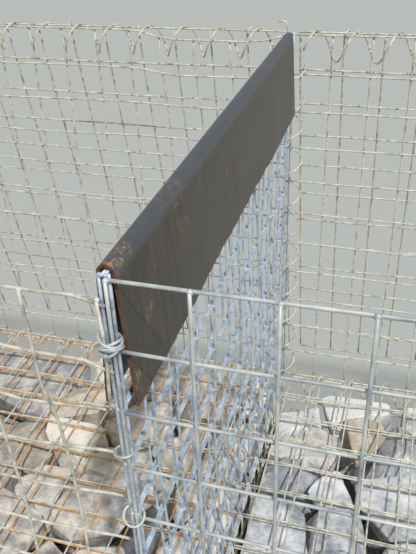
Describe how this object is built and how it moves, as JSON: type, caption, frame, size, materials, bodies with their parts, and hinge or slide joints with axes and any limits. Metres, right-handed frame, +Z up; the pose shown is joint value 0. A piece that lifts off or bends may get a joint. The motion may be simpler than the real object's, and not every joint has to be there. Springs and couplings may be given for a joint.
{
  "type": "gabion wall",
  "caption": "Welded-mesh gabion wall: a lidded lower course full of stone carries open, empty baskets with hinged lids and a folded steel filling guard.",
  "frame": {"origin": "on the ground under the right baskets' edge wire where the two baskets of a course meet, halfway through the wall", "axes": "+X along the wall to the right seen from its front, +Y to the back, +Z up"},
  "size_m": [3.7268, 1.142, 1.7067],
  "materials": {
    "zinc_wire": "hot-dip galvanised, dull",
    "weathered_wire": "galvanised, dusty and rust stained",
    "coil_wire": "galvanised, dull cream",
    "ring_wire": "galvanised, crimped",
    "guard_steel": "mill scale with rust at the cut edges",
    "quarry_stone": "rough broken quarry stone"
  },
  "bodies": {
    "wall": {"course_coils_left": "coil_wire", "course_coils_right": "coil_wire", "filling_guard": "guard_steel", "hinge_coil_left": "coil_wire", "hinge_coil_right": "coil_wire", "lower_back_left": "weathered_wire", "lower_back_right": "weathered_wire", "lower_base_left": "weathered_wire", "lower_base_right": "weathered_wire", "lower_corner_coils": "coil_wire", "lower_end_left": "weathered_wire", "lower_end_right": "weathered_wire", "lower_front_left": "weathered_wire", "lower_front_right": "weathered_wire", "lower_front_rings": "ring_wire", "lower_lid_left": "weathered_wire", "lower_lid_right": "weathered_wire", "lower_party_left": "weathered_wire", "lower_party_right": "weathered_wire", "stone_fill_1": "quarry_stone", "stone_fill_2": "quarry_stone", "stone_fill_3": "quarry_stone", "stone_fill_4": "quarry_stone", "upper_back_left": "zinc_wire", "upper_back_right": "zinc_wire", "upper_base_left": "zinc_wire", "upper_base_right": "zinc_wire", "upper_corner_coils": "coil_wire", "upper_diaphragm_left": "zinc_wire", "upper_diaphragm_right": "zinc_wire", "upper_end_left": "zinc_wire", "upper_end_right": "zinc_wire", "upper_front_left": "zinc_wire", "upper_front_right": "zinc_wire", "upper_front_rings": "ring_wire", "upper_party_left": "zinc_wire", "upper_party_right": "zinc_wire"},
    "lid_left": {"upper_lid_left": "zinc_wire"},
    "lid_right": {"upper_lid_right": "zinc_wire"}
  },
  "joints": [
    {"name": "lid_left_hinge", "type": "hinge", "parent": "wall", "child": "lid_left", "pos_m": [-0.9, 0.46101, 1.69851], "axis": [1, 0, 0], "range_deg": [0, 254]},
    {"name": "lid_right_hinge", "type": "hinge", "parent": "wall", "child": "lid_right", "pos_m": [0.9, 0.46101, 1.69851], "axis": [1, 0, 0], "range_deg": [0, 254]}
  ]
}
